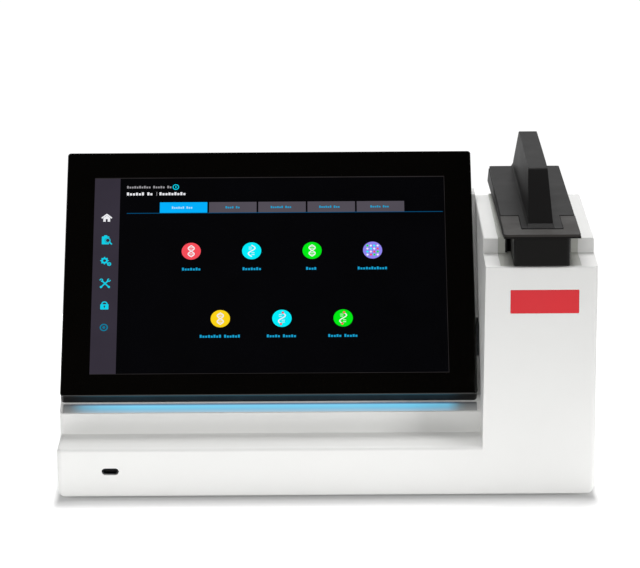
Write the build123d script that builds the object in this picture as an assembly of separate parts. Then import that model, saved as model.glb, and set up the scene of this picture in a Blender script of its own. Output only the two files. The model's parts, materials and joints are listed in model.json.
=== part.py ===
"""Bench-top microvolume spectrophotometer with a tilted touch screen and a hinged sample arm.

Lengths are millimetres. The parts are laid out with X to the right of the body's middle, Y back
from the front face and Z up from the table, and are moved once, on export, so that the origin is
the middle of the footprint.
"""

import os
from math import cos, radians, sin

from build123d import *

# ---- driving dimensions: housing ----
WIDTH = 320.4
DEPTH = 205.0
WALL = 3.0
FOOT_HEIGHT = 2.0
LEDGE_TOP = 31.6
LEDGE_DEPTH = 30.5
BOTTOM_ROUND = 6.0
FRONT_ROUND = 3.2
LEDGE_ROUND = 2.2
EDGE_ROUND = 1.2
REAR_ROUND = 10.0
BACK_CORNER = 2.5
LIGHT_BAR_FOOT = 44.4
RIDGE_TOP = 154.0
RIDGE_DEPTH = 16.0
REAR_WALL_TOP = 64.0
TRAY_TOP_Z = 4.0
TRAY_SEAT = 5.0
TRAY_FLANGE = 10.0
ABOVE_ALL = 200.0

# ---- driving dimensions: tower ----
TOWER_LEFT = 92.8
TOWER_DRAFT = 1.6
LIP_TOP = 142.2
EAR_TOP = 151.1
EAR_FRONT = 33.3
EAR_BACK = 147.0
REAR_DECK = 130.0
REAR_DECK_START = 151.5
CHANNEL_LEFT = 103.1
CHANNEL_RIGHT = 150.7
WELL_WALL = 4.3
FLOOR_Z = LIP_TOP - WALL

# ---- driving dimensions: display ----
SCREEN_WIDTH = 251.4
SCREEN_HEIGHT = 168.5
SCREEN_THICK = 10.7
SCREEN_LEAN = 42.7
SCREEN_LEFT = -159.8
SCREEN_FOOT = (31.4, 55.5)
ACTIVE_WIDTH = 217.0
ACTIVE_HEIGHT = 135.6
ACTIVE_LEFT = 17.4
ACTIVE_BOTTOM = 14.4

# ---- driving dimensions: arm, hinge and sample station ----
ARM_X = 127.0
ARM_WIDTH = 44.8
ARM_FLARE = 0.8
ARM_FRONT = -6.1
ARM_BACK = 172.4
ARM_TOP = 163.3
COVER_THICK = 1.6
TRAY_FRONT_UNDER = 160.6
TRAY_BACK_UNDER = 153.9
NOSE_WIDTH = 32.9
NOSE_FRONT = -3.4
NOSE_BOTTOM = 143.15
NOSE_BACK = 145.0
HINGE_Y = 162.0
HINGE_Z = 147.0
PIN_RADIUS = 2.5
HINGE_SCREW_RADIUS = 1.5
RUNNING = 0.05
PEDESTAL_Y = 17.0
PATH_LENGTH = 1.0
PEDESTAL_TIP = 144.2

# ---- driving dimensions: front port, badge and rear panel ----
PORT_X = -128.5
PORT_Z = 17.6
PORT_WIDTH = 10.2
PORT_HEIGHT = 4.1
BADGE_X = 129.1
BADGE_Z = 120.9
BADGE_WIDTH = 40.5
BADGE_HEIGHT = 14.4
PANEL_LEFT = -125.0
PANEL_RIGHT = 35.0
PANEL_BOTTOM = 9.0
PANEL_TOP = 58.0
PANEL_THICK = 2.0
BOARD_Z = 12.0
BOARD_THICK = 1.6
PORT_MOUTH = 203.0

HALF = WIDTH / 2
ORIGIN_Y = (ARM_FRONT + DEPTH) / 2
LEAN_SIN = sin(radians(SCREEN_LEAN))
LEAN_COS = cos(radians(SCREEN_LEAN))
PANEL_FACE = DEPTH - WALL
TRAY_POSTS = [(-141, 14), (-20, 14), (141, 14), (-141, 190), (60, 190), (141, 190)]
POST_RADIUS = 4.5
SELF_TAP_RADIUS = 1.4
FEET = [(x, y) for x in (-135, 135) for y in (30, 172)]
FOOT_RADIUS = 8.0
FOOT_STEM_RADIUS = 2.5


# ---- helpers ----
def block(x0, x1, y0, y1, z0, z1):
    """A box between two opposite corners."""
    centre = Pos((x0 + x1) / 2, (y0 + y1) / 2, (z0 + z1) / 2)
    return centre * Box(x1 - x0, y1 - y0, z1 - z0)


def post(x, y, z0, z1, radius):
    """An upright cylinder from z0 to z1."""
    return Pos(x, y, (z0 + z1) / 2) * Cylinder(radius, z1 - z0)


def cross_rod(x0, x1, y, z, radius):
    """A cylinder along X."""
    return Pos((x0 + x1) / 2, y, z) * Rot(0, 90, 0) * Cylinder(radius, x1 - x0)


def deep_rod(x, y0, y1, z, radius):
    """A cylinder along Y."""
    return Pos(x, (y0 + y1) / 2, z) * Rot(90, 0, 0) * Cylinder(radius, y1 - y0)


def rounded(points, radii):
    """A flat outline whose corners are rounded by the radius given for each, 0 for a sharp one."""
    face = make_face(Polyline(*points, close=True))
    for point, radius in zip(points, radii):
        if radius:
            corner = face.vertices().sort_by_distance((*point, 0))[0]
            face = fillet(corner, radius)
    return face


def along_x(face, x0, x1):
    """A (y, z) outline extruded from x0 to x1."""
    return extrude(Plane.YZ.offset(x0) * face, amount=x1 - x0)


def along_y(face, y0, y1):
    """An (x, z) outline extruded from y0 to y1."""
    return extrude(Plane.XZ.offset(-y1) * face, amount=y1 - y0)


def plan(x0, x1, y0, y1, z0, z1, radii):
    """An upright block whose four plan corners, from front left anticlockwise, are rounded."""
    face = rounded([(x0, y0), (x1, y0), (x1, y1), (x0, y1)], radii)
    return extrude(Pos(0, 0, z0) * face, amount=z1 - z0)


def inset(face, amount):
    """The outline moved inwards with sharp corners kept."""
    return offset(face, amount=-amount, kind=Kind.INTERSECTION)


def screw(x, y, z, head_radius, head_height, shank_radius, shank_length):
    """An upright screw whose slotted head is below z and whose shank runs up from z."""
    slot_half = 0.4
    slot_top = z - 0.6 * head_height
    head = post(x, y, z - head_height, z, head_radius)
    head -= block(x - head_radius, x + head_radius, y - slot_half, y + slot_half, z - head_height, slot_top)
    return head + post(x, y, z, z + shank_length, shank_radius)


def screen_place(across, up, depth):
    """The place of a point on the display: across from its middle, up from its foot, behind its front."""
    foot_y, foot_z = SCREEN_FOOT
    origin = (SCREEN_LEFT + SCREEN_WIDTH / 2, foot_y, foot_z)
    face = Plane(origin=origin, x_dir=(1, 0, 0), z_dir=(0, -LEAN_COS, LEAN_SIN))
    return face.location * Pos(across, up, -depth)


def screen_slab(width, height, across, up, front, back, corner=0.0):
    """A slab parallel to the display, from front to back behind its front face."""
    face = RectangleRounded(width, height, corner) if corner else Rectangle(width, height)
    return screen_place(across, up, back) * extrude(face, amount=back - front)


def tray_under(y):
    """The height of the arm tray's sloping underside at y."""
    share = (y - ARM_FRONT) / (ARM_BACK - ARM_FRONT)
    return TRAY_FRONT_UNDER + share * (TRAY_BACK_UNDER - TRAY_FRONT_UNDER)


def slope_point(up):
    """The (y, z) point up the plane on which the display's back lies."""
    foot_y, foot_z = SCREEN_FOOT
    y = foot_y + SCREEN_THICK * LEAN_COS + up * LEAN_SIN
    z = foot_z - SCREEN_THICK * LEAN_SIN + up * LEAN_COS
    return y, z


# ---- housing ----
def back_outline(bottom):
    """The (y, z) outline of the part that carries the display, down to the given height."""
    lens_back = slope_point(-0.3)
    ridge = slope_point((RIDGE_TOP - slope_point(0)[1]) / LEAN_COS)
    points = [
        (LEDGE_DEPTH, bottom),
        (LEDGE_DEPTH, LIGHT_BAR_FOOT),
        lens_back,
        ridge,
        (ridge[0] + RIDGE_DEPTH, RIDGE_TOP),
        (DEPTH, REAR_WALL_TOP),
        (DEPTH, bottom),
    ]
    return points


def tower_outline(bottom):
    """The (y, z) outline of the tower, down to the given height."""
    return [
        (0, bottom),
        (0, LIP_TOP),
        (EAR_FRONT, LIP_TOP),
        (EAR_FRONT, EAR_TOP),
        (EAR_BACK, EAR_TOP),
        (REAR_DECK_START, REAR_DECK),
        (DEPTH, REAR_DECK),
        (DEPTH, bottom),
    ]


def light_bar_outline():
    """The (y, z) outline of the diffuser's slot, whose top lies along the strip under the display."""
    thickness = 4.4
    front_y = LEDGE_DEPTH + 0.8
    top_y, top_z = slope_point(-0.3)
    points = [
        (front_y, LIGHT_BAR_FOOT + 0.6),
        (top_y - 0.4, top_z + 0.1),
        (top_y - 0.4, top_z - thickness),
        (front_y, LIGHT_BAR_FOOT + 0.75 - thickness),
    ]
    return make_face(Polyline(*points, close=True))


def housing_outside():
    base = plan(-HALF, HALF, 0, DEPTH, FOOT_HEIGHT, LEDGE_TOP, [FRONT_ROUND] * 2 + [REAR_ROUND] * 2)
    front_edge = base.edges().group_by(Axis.Z)[-1].filter_by(Axis.X).sort_by(Axis.Y)[0]
    base = fillet(front_edge, LEDGE_ROUND)
    back_end = TOWER_LEFT + TOWER_DRAFT - 0.1
    back = along_x(rounded(back_outline(FOOT_HEIGHT), [0, 0.6, 0, 3, 6, 9, 0]), -HALF, back_end)
    back &= plan(-HALF, back_end, LEDGE_DEPTH, DEPTH, 0, ABOVE_ALL, [BACK_CORNER, 0, 0, REAR_ROUND])
    tower = along_x(rounded(tower_outline(FOOT_HEIGHT), [0, 1.0, 0, 0.8, 4, 3, 7, 0]), TOWER_LEFT, HALF)
    sides = rounded(
        [(TOWER_LEFT, 0), (HALF, 0), (HALF, EAR_TOP), (TOWER_LEFT + TOWER_DRAFT, EAR_TOP)],
        [0, 0, 1.2, 1.0],
    )
    tower &= along_y(sides, 0, DEPTH)
    tower &= plan(TOWER_LEFT, HALF, 0, DEPTH, 0, EAR_TOP, [0, FRONT_ROUND, REAR_ROUND, 3])
    foot_round = rounded(
        [(-HALF, FOOT_HEIGHT), (HALF, FOOT_HEIGHT), (HALF, ABOVE_ALL), (-HALF, ABOVE_ALL)],
        [BOTTOM_ROUND, BOTTOM_ROUND, 0, 0],
    )
    edge_round = rounded(
        [(0, FOOT_HEIGHT), (DEPTH, FOOT_HEIGHT), (DEPTH, ABOVE_ALL), (0, ABOVE_ALL)],
        [EDGE_ROUND, EDGE_ROUND, 0, 0],
    )
    return (base + back + tower) & along_y(foot_round, 0, DEPTH) & along_x(edge_round, -HALF, HALF)


def housing_inside():
    """The room inside the shell, whose mouth is smaller than it by the flange that the tray meets."""
    below = -20.0
    lip = TRAY_SEAT
    base = plan(-HALF + WALL, HALF - WALL, WALL, DEPTH - WALL, lip, LEDGE_TOP - WALL, [1, 1, 7, 7])
    side = HALF - WALL - TRAY_FLANGE
    mouth = block(-side, side, WALL + lip, DEPTH - WALL - lip, 0, lip + 1)
    back = along_x(inset(make_face(Polyline(*back_outline(below), close=True)), WALL), -HALF, TOWER_LEFT)
    back &= plan(-HALF + WALL, TOWER_LEFT - 0.5, LEDGE_DEPTH, DEPTH, lip, RIDGE_TOP, [1, 0, 0, 7])
    tower = along_x(
        inset(make_face(Polyline(*tower_outline(below), close=True)), WALL),
        TOWER_LEFT + TOWER_DRAFT + WALL,
        HALF - WALL,
    )
    tower &= block(0, WIDTH, 0, DEPTH, lip, EAR_TOP)
    return base + mouth + back + tower


def tray_post(x, y):
    """A boss for a tray screw, joined to the nearest wall by a rib."""
    top = LEDGE_TOP - WALL + 0.5
    rib_half = 1.2
    wall_y = WALL / 2 if y < DEPTH / 2 else DEPTH - WALL / 2
    rib = block(x - rib_half, x + rib_half, min(y, wall_y), max(y, wall_y), TRAY_SEAT, top)
    return post(x, y, TRAY_TOP_Z, top, POST_RADIUS) + rib


def cable_ways():
    """Openings from the base into the tower and through the slope behind the display."""
    side_window = block(TOWER_LEFT - 2, TOWER_LEFT + 8, 60, 110, 40, 90)
    behind_display = screen_slab(120, 60, 0, 75, SCREEN_THICK - 1, SCREEN_THICK + 6, 4)
    arm_way = block(ARM_X - 6, ARM_X + 6, 152, 158, REAR_DECK - WALL - 1, REAR_DECK + 1)
    return side_window + behind_display + arm_way


def main_housing():
    shell = housing_outside() - housing_inside()
    for x, y in TRAY_POSTS:
        shell += tray_post(x, y)
        shell -= post(x, y, 0, 20, SELF_TAP_RADIUS)
    shell -= block(CHANNEL_LEFT, CHANNEL_RIGHT, 2, REAR_DECK_START, FLOOR_Z, ABOVE_ALL)
    shell -= block(CHANNEL_LEFT, CHANNEL_RIGHT, EAR_BACK - 2, REAR_DECK_START, REAR_DECK, ABOVE_ALL)
    shell -= light_bar_slot()
    shell -= cable_ways()
    for across, up in display_screw_places():
        shell -= screen_place(across, up, SCREEN_THICK + 6) * Pos(0, 0, 4) * Cylinder(1.7, 10)
    port = SlotOverall(PORT_WIDTH, PORT_HEIGHT)
    shell -= extrude(Plane.XZ * Pos(PORT_X, PORT_Z) * port, amount=WALL + 2, both=True)
    shell -= badge_plate(BADGE_WIDTH, BADGE_HEIGHT, -1)
    shell -= block(PANEL_LEFT, PANEL_RIGHT, PANEL_FACE - 5, DEPTH + 1, PANEL_BOTTOM, PANEL_TOP)
    for x, z in panel_screw_places():
        shell -= deep_rod(x, PANEL_FACE - 1, PANEL_FACE + 2, z, 1.25)
    for x, y in hinge_screw_places():
        shell -= post(x, y, REAR_DECK - WALL - 1, REAR_DECK + 1, HINGE_SCREW_RADIUS)
    return shell


def base_tray():
    half = HALF - WALL - TRAY_FLANGE - 0.2
    edge = WALL + TRAY_SEAT + 0.2
    tray = plan(-half, half, edge, DEPTH - edge, FOOT_HEIGHT, TRAY_TOP_Z, [3] * 4)
    for x, y in TRAY_POSTS:
        tray -= post(x, y, 0, TRAY_SEAT, 1.7)
        tray -= post(x, y, 0, FOOT_HEIGHT + 1, 3.1)
    for x, y in FEET:
        tray -= post(x, y, 0, TRAY_SEAT, FOOT_STEM_RADIUS)
    vent_width, vent_pitch = 3, 12
    for count in range(9):
        left = -60 + vent_pitch * count
        tray -= block(left, left + vent_width, 80, 130, 0, TRAY_SEAT)
    return tray


def rubber_feet():
    """Round feet, each held by a stem pushed through the tray."""
    feet = []
    for x, y in FEET:
        foot = post(x, y, 0, FOOT_HEIGHT, FOOT_RADIUS)
        foot = chamfer(foot.edges().group_by(Axis.Z)[0], 0.6)
        feet.append(foot + post(x, y, FOOT_HEIGHT, TRAY_SEAT + 0.5, FOOT_STEM_RADIUS))
    return feet


def housing_screws():
    return [screw(x, y, FOOT_HEIGHT + 1, 2.9, 1.0, 1.35, 15) for x, y in TRAY_POSTS]


def badge_plate(width, height, front):
    """A plate let into the tower's front wall, from the given depth to the recess's floor."""
    depth = 0.6
    x0, z0 = BADGE_X - width / 2, BADGE_Z - height / 2
    return block(x0, x0 + width, front, depth, z0, z0 + height)


def front_badge():
    gap = 0.1
    badge = badge_plate(BADGE_WIDTH - 2 * gap, BADGE_HEIGHT - 2 * gap, 0)
    return fillet(badge.edges().filter_by(Axis.Y), 0.5)


# ---- status light and front port ----
LENS_LEFT = -HALF + 2
LENS_RIGHT = TOWER_LEFT - 1.5
LED_BOARD_Y = (34.0, 42.5)
LED_BOARD_Z = (34.6, 36.2)
LED_COUNT = 14
LED_MARGIN = 15.0
LED_SIZE = (3.4, 3.0, 1.4)
USB_SHELL_WIDTH = 9.0
USB_SHELL_HEIGHT = 3.2
USB_SHELL_WALL = 0.35
USB_SHELL_FRONT = 1.0
USB_SHELL_LENGTH = 7.9


def light_bar_slot():
    gap = 0.1
    return along_x(light_bar_outline(), LENS_LEFT - gap, LENS_RIGHT + gap)


def light_bar_lens():
    gap = 0.1
    return along_x(inset(light_bar_outline(), gap), LENS_LEFT, LENS_RIGHT)


def light_bar_board():
    margin = 5
    return block(LENS_LEFT + margin, LENS_RIGHT - margin, *LED_BOARD_Y, *LED_BOARD_Z)


def light_bar_leds():
    width, depth, height = LED_SIZE
    top = LED_BOARD_Z[1]
    y0 = LED_BOARD_Y[0] + 2
    step = (LENS_RIGHT - LENS_LEFT - 2 * LED_MARGIN) / (LED_COUNT - 1)
    centres = [LENS_LEFT + LED_MARGIN + step * index for index in range(LED_COUNT)]
    return [block(x - width / 2, x + width / 2, y0, y0 + depth, top, top + height) for x in centres]


def front_usb_shell():
    mouth = Plane.XZ.offset(-USB_SHELL_FRONT) * Pos(PORT_X, PORT_Z)
    outer = SlotOverall(USB_SHELL_WIDTH, USB_SHELL_HEIGHT)
    inner = SlotOverall(USB_SHELL_WIDTH - 2 * USB_SHELL_WALL, USB_SHELL_HEIGHT - 2 * USB_SHELL_WALL)
    shell = extrude(mouth * outer, amount=-USB_SHELL_LENGTH)
    return shell - extrude(mouth * inner, amount=0.9 - USB_SHELL_LENGTH)


def front_usb_tongue():
    half_width, half_thick = 3.3, 0.35
    back = USB_SHELL_FRONT + USB_SHELL_LENGTH - 0.9
    return block(
        PORT_X - half_width, PORT_X + half_width, 2.2, back, PORT_Z - half_thick, PORT_Z + half_thick
    )


def front_usb_board():
    top = PORT_Z - USB_SHELL_HEIGHT / 2
    return block(PORT_X - 5.5, PORT_X + 11, WALL + 0.4, 22, top - BOARD_THICK, top)


# ---- display ----
GLASS_THICK = 1.6
GLASS_CORNER = 2.0
GASKET_BACK = 2.1
PANEL_MARGIN = 5.0
PANEL_BACK = 6.4
FRAME_BORDER = 4.0
FRAME_POCKET_BACK = 8.2


def display_screw_places():
    return [(across, up) for across in (-100, 96) for up in (25, 130)]


def active_centre():
    across = ACTIVE_LEFT + ACTIVE_WIDTH / 2 - SCREEN_WIDTH / 2
    return across, ACTIVE_BOTTOM + ACTIVE_HEIGHT / 2


def display_outline(margin, front, back):
    """A slab of the display's outline less a margin all round."""
    width, height = SCREEN_WIDTH - 2 * margin, SCREEN_HEIGHT - 2 * margin
    return screen_slab(width, height, 0, SCREEN_HEIGHT / 2, front, back, GLASS_CORNER)


def active_outline(margin, front, back, corner=0.0):
    """A slab of the active area's outline plus a margin all round."""
    width, height = ACTIVE_WIDTH + 2 * margin, ACTIVE_HEIGHT + 2 * margin
    return screen_slab(width, height, *active_centre(), front, back, corner)


def display_glass():
    glass = display_outline(0, 0, GLASS_THICK)
    front = glass.faces().sort_by(Axis((0, 0, 0), (0, -LEAN_COS, LEAN_SIN)))[-1]
    return chamfer(front.edges(), 0.35)


def display_gasket():
    return display_outline(FRAME_BORDER, GLASS_THICK, GASKET_BACK) - active_outline(1, 1, 3)


def display_panel():
    return active_outline(PANEL_MARGIN, GASKET_BACK, PANEL_BACK, 1.0)


def display_frame():
    """The casing behind the glass, with a pocket for the panel and a way out for its cable."""
    frame = display_outline(0.2, GLASS_THICK, SCREEN_THICK)
    back = frame.faces().sort_by(Axis((0, 0, 0), (0, -LEAN_COS, LEAN_SIN)))[0]
    frame = chamfer(back.edges(), 1.0)
    frame -= display_outline(FRAME_BORDER, 1, GASKET_BACK)
    frame -= active_outline(PANEL_MARGIN + 0.2, 2, FRAME_POCKET_BACK)
    frame -= screen_slab(60, 24, 0, 75, FRAME_POCKET_BACK - 0.2, SCREEN_THICK + 1)
    for across, up in display_screw_places():
        frame -= screen_place(across, up, SCREEN_THICK) * Cylinder(1.25, 5)
    return frame


def display_screws():
    shank_radius, shank_length = 1.25, 5.2
    head_radius, head_height = 2.8, 1.8
    drive_radius, drive_depth = 1.1, 0.5
    screws = []
    for across, up in display_screw_places():
        place = screen_place(across, up, SCREEN_THICK + WALL)
        shank = Pos(0, 0, shank_length / 2) * Cylinder(shank_radius, shank_length)
        head = Pos(0, 0, -head_height / 2) * Cylinder(head_radius, head_height)
        drive = Pos(0, 0, drive_depth / 2 - head_height) * Cylinder(drive_radius, drive_depth)
        screws.append(place * (shank + (head - drive)))
    return screws


# ---- sample station ----
FLANGE_Z = LIP_TOP - 2 * WALL
INSERT_GAP = 0.1
INSERT_TOP = EAR_TOP + 0.8
SEAL_RADIUS = 7.0
PEDESTAL_RADIUS = 4.0
TIP_RADIUS = 2.2
TIP_HEIGHT = 1.0
PEDESTAL_FOOT = 122.0
PEDESTAL_BORE_TOP = 134.0
PEDESTAL_BORE = 1.2
CARRIAGE_THICK = 6.0
CARRIAGE_HALF = 16.0
CARRIAGE_Y = (10.0, 40.0)
SCREW_Y = 34.0
SCREW_RADIUS = 1.5
SCREW_TOP = 133.0
ROD_X = 12.0
ROD_Y = 27.0
ROD_RADIUS = 2.0
BRACKET_Z = 106.0
BRACKET_THICK = 3.0
BRACKET_HALF = 20.0
MOTOR_HALF = 10.0
MOTOR_HEIGHT = 26.0
SHAFT_DEPTH = 6.0


def bore(x, y, z0, z1, radius):
    """A cutter for an upright hole through z0 to z1."""
    return post(x, y, z0 - 1, z1 + 1, radius)


def deck_insert():
    """Floor with the pedestal's hole, a flange under the housing, and two walls beside the arm."""
    left, right = CHANNEL_LEFT + INSERT_GAP, CHANNEL_RIGHT - INSERT_GAP
    back = EAR_FRONT + 4
    floor = block(left, right, 2.1, back, FLOOR_Z, LIP_TOP)
    front_edge = floor.edges().filter_by(Axis.X).group_by(Axis.Y)[0].sort_by(Axis.Z)[-1]
    floor = fillet(front_edge, 0.6)
    flange = block(98.5, 155.5, 4, back, FLANGE_Z, FLOOR_Z)
    wall_points = [
        (EAR_FRONT, FLOOR_Z),
        (EAR_FRONT, INSERT_TOP),
        (EAR_BACK, INSERT_TOP),
        (EAR_BACK + 2.1, FLOOR_Z),
    ]
    walls = rounded(wall_points, [0, 0.6, 3, 0])
    left_wall = along_x(walls, left, CHANNEL_LEFT + WELL_WALL)
    right_wall = along_x(walls, CHANNEL_RIGHT - WELL_WALL, right)
    return floor + flange + left_wall + right_wall - bore(ARM_X, PEDESTAL_Y, 130, 150, SEAL_RADIUS)


def arm_well():
    """Black trough between the insert's walls, with a wall that closes it at the back."""
    left = CHANNEL_LEFT + WELL_WALL
    right = CHANNEL_RIGHT - WELL_WALL
    thick = 1.2
    start = EAR_FRONT + 0.6
    floor_top = FLOOR_Z + 1
    trough = block(left, right, EAR_FRONT + 4, EAR_BACK, FLOOR_Z - 1, floor_top)
    sides = block(left, left + thick, start, EAR_BACK, floor_top, EAR_TOP - 1)
    sides += block(right - thick, right, start, EAR_BACK, floor_top, EAR_TOP - 1)
    sides -= block(left, right, start, EAR_FRONT + 4, 0, LIP_TOP)
    back = make_face(
        Polyline(
            (EAR_BACK, FLOOR_Z - 1),
            (EAR_BACK, floor_top),
            (EAR_BACK + 2.1, floor_top),
            (REAR_DECK_START - 0.1, REAR_DECK),
            (REAR_DECK_START - 3, REAR_DECK),
            close=True,
        )
    )
    return trough + sides + along_x(back, left, right)


def pedestal_seal():
    ring = post(ARM_X, PEDESTAL_Y, FLANGE_Z, LIP_TOP + 0.4, SEAL_RADIUS)
    ring = chamfer(ring.edges().group_by(Axis.Z)[-1], 0.3)
    return ring - bore(ARM_X, PEDESTAL_Y, FLANGE_Z, LIP_TOP, PEDESTAL_RADIUS + 0.3)


def lower_pedestal():
    shoulder = PEDESTAL_TIP - TIP_HEIGHT
    body = post(ARM_X, PEDESTAL_Y, PEDESTAL_FOOT, shoulder, PEDESTAL_RADIUS)
    body = chamfer(body.edges().group_by(Axis.Z)[-1], 0.6)
    tip = post(ARM_X, PEDESTAL_Y, shoulder, PEDESTAL_TIP, TIP_RADIUS)
    return body + tip - post(ARM_X, PEDESTAL_Y, PEDESTAL_FOOT - 1, PEDESTAL_BORE_TOP, PEDESTAL_BORE)


def rod_places():
    return [ARM_X + side * ROD_X for side in (-1, 1)]


def lift_carriage():
    bottom, top = PEDESTAL_FOOT, PEDESTAL_FOOT + CARRIAGE_THICK
    carriage = plan(ARM_X - CARRIAGE_HALF, ARM_X + CARRIAGE_HALF, *CARRIAGE_Y, bottom, top, [3] * 4)
    carriage -= bore(ARM_X, PEDESTAL_Y, bottom, top, PEDESTAL_RADIUS)
    carriage -= bore(ARM_X, SCREW_Y, bottom, top, SCREW_RADIUS + RUNNING)
    for x in rod_places():
        carriage -= bore(x, ROD_Y, bottom, top, ROD_RADIUS + RUNNING)
    return carriage


def lift_guide_rods():
    return [post(x, ROD_Y, BRACKET_Z, FLANGE_Z, ROD_RADIUS) for x in rod_places()]


def lift_bracket():
    """A plate with two sides that hang it under the insert's flange."""
    top = BRACKET_Z + BRACKET_THICK
    side_thick = 2.5
    bracket = block(ARM_X - BRACKET_HALF, ARM_X + BRACKET_HALF, 10, 44, BRACKET_Z, top)
    for side in (-1, 1):
        x0, x1 = sorted((ARM_X + side * BRACKET_HALF, ARM_X + side * (BRACKET_HALF - side_thick)))
        bracket += block(x0, x1, 14, 40, BRACKET_Z, FLANGE_Z)
    for x in rod_places():
        bracket -= bore(x, ROD_Y, BRACKET_Z, top, ROD_RADIUS)
    bracket -= bore(ARM_X, SCREW_Y, BRACKET_Z, top, 2.5)
    return bracket - bore(ARM_X, PEDESTAL_Y, BRACKET_Z, top, 3.5)


def lift_screw():
    return post(ARM_X, SCREW_Y, BRACKET_Z - SHAFT_DEPTH, SCREW_TOP, SCREW_RADIUS)


def lift_motor():
    left, right = ARM_X - MOTOR_HALF, ARM_X + MOTOR_HALF
    front, back = SCREW_Y - MOTOR_HALF, SCREW_Y + MOTOR_HALF
    can = plan(left, right, front, back, BRACKET_Z - MOTOR_HEIGHT, BRACKET_Z, [2.5] * 4)
    socket_foot = BRACKET_Z - SHAFT_DEPTH - 0.3
    return can - post(ARM_X, SCREW_Y, socket_foot, BRACKET_Z + 1, SCREW_RADIUS + RUNNING)


def arm_stops():
    """Two rubber buttons on the deck that the nose block comes down to."""
    spread, y, radius = 11.5, 9.5, 2.5
    return [post(ARM_X + side * spread, y, LIP_TOP, NOSE_BOTTOM - 0.1, radius) for side in (-1, 1)]


# ---- optics ----
OPTICS = (-5.0, 85.0, 62.0, 150.0)
OPTICS_Z = (8.0, 34.0)
OPTICS_WALL = 4.0
OPTICS_FLOOR = OPTICS_Z[0] + OPTICS_WALL
INLET_X = OPTICS[1] - 20.0
GRATING = (40.0, 135.0)
GRATING_SIZE = (16.0, 4.0, 14.0)
GRATING_TURN = 12.0
MIRROR_RADIUS = 8.0
MIRROR_THICK = 5.0
MIRROR_Y = 128.0
MIRRORS = [(14.0, 20.0), (66.0, -20.0)]
LAMP_X = 126.0
LAMP_Y = 140.0
LAMP_Z = (6.0, 46.0)
NOZZLE_TOP = 58.0
FIBRE_Z = 21.0
FIBRE_RADIUS = 1.6


def optics_bench():
    """An open tray on four feet, with an inlet for the fibre in its front wall."""
    x0, x1, y0, y1 = OPTICS
    z0, z1 = OPTICS_Z
    wall = OPTICS_WALL
    corner = 8
    bench = plan(x0, x1, y0, y1, z0, z1, [4] * 4)
    bench -= plan(x0 + wall, x1 - wall, y0 + wall, y1 - wall, OPTICS_FLOOR, z1 + 1, [2] * 4)
    for x in (x0 + corner, x1 - corner):
        for y in (y0 + corner, y1 - corner):
            bench += post(x, y, TRAY_TOP_Z, z0 + 0.5, 4)
    return bench - deep_rod(INLET_X, y0 - 1, y0 + wall + 1, FIBRE_Z, 2.6)


def optics_cover():
    return plan(*OPTICS, OPTICS_Z[1], OPTICS_Z[1] + 2, [4] * 4)


def diffraction_grating():
    x, y = GRATING
    return Pos(x, y, OPTICS_FLOOR + GRATING_SIZE[2] / 2) * Rot(0, 0, GRATING_TURN) * Box(*GRATING_SIZE)


def collimating_mirrors():
    blank = Cylinder(MIRROR_RADIUS, MIRROR_THICK)
    z = OPTICS_FLOOR + MIRROR_RADIUS
    return [Pos(x, MIRROR_Y, z) * Rot(90, 0, turn) * blank for x, turn in MIRRORS]


def sensor_board():
    front = OPTICS[2] + OPTICS_WALL + 0.5
    return block(8, 44, front, front + 2.5, OPTICS_FLOOR, OPTICS_FLOOR + 16)


def lamp_bracket():
    half, back = 21, 160
    foot = block(LAMP_X - 1 - half, LAMP_X - 1 + half, back - 2 * half, back, TRAY_TOP_Z, LAMP_Z[0])
    wall = block(LAMP_X - 1 - half, LAMP_X - 1 + half, back - 2, back, LAMP_Z[0], 60)
    return foot + wall


def flash_lamp():
    can = plan(106, 145, LAMP_Y - 18, LAMP_Y + 18, *LAMP_Z, [3] * 4)
    nozzle = post(LAMP_X, LAMP_Y, LAMP_Z[1], NOZZLE_TOP, 7)
    return can + nozzle - post(LAMP_X, LAMP_Y, NOZZLE_TOP - 8, NOZZLE_TOP + 1, 2.2)


def light_fibre(points, bend):
    """A round fibre cable along straight runs joined by bends."""
    path = FilletPolyline(*points, radius=bend)
    start = Plane(origin=path @ 0, z_dir=path % 0)
    return sweep(start * Circle(FIBRE_RADIUS), path=path)


def detector_fibre():
    points = [
        (ARM_X, PEDESTAL_Y, PEDESTAL_FOOT - 2.5),
        (ARM_X, PEDESTAL_Y, FIBRE_Z),
        (INLET_X, PEDESTAL_Y, FIBRE_Z),
        (INLET_X, OPTICS[2] + OPTICS_WALL + 2, FIBRE_Z),
    ]
    return light_fibre(points, 12)


def source_fibre():
    """From the lamp's nozzle up to the way out behind the arm."""
    way_out_y = 155.0
    points = [
        (LAMP_X, LAMP_Y, NOZZLE_TOP - 6),
        (LAMP_X, LAMP_Y, 100),
        (LAMP_X, way_out_y, 112),
        (LAMP_X, way_out_y, REAR_DECK + 1.5),
    ]
    return light_fibre(points, 8)


# ---- electronics ----
BOARD = (-124.0, -12.0, 66.0, 192.0)
BOARD_TOP = BOARD_Z + BOARD_THICK
SINK = (-90.0, -46.0, 90.0, 134.0)
SINK_BASE = 3.0
SINK_HEIGHT = 15.0
FIN_COUNT = 10
FIN_THICK = 1.4
FIN_PITCH = 4.6
POWER_BOARD = (-8.5, 52.0, 156.0, 192.0)
ETHERNET_X = -100.0
ETHERNET_HALF = 8.0
ETHERNET_HEIGHT = 13.5
HOST_X = (-74.0, -54.0)
HOST_HALF = 7.1
HOST_HEIGHT = 7.0
DC_X = -30.0
DC_HALF = 7.0
DC_HEIGHT = 11.0
SOCKET_FLOOR_Y = 189.0
SWITCH_X = 12.0
SWITCH_Z = 33.0
SWITCH_HALF = 6.5
SWITCH_HALF_HEIGHT = 9.6
SWITCH_PIVOT_Y = 199.4
SWITCH_PIVOT_RADIUS = 1.0
ROCKER_REST = -8.0
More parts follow.
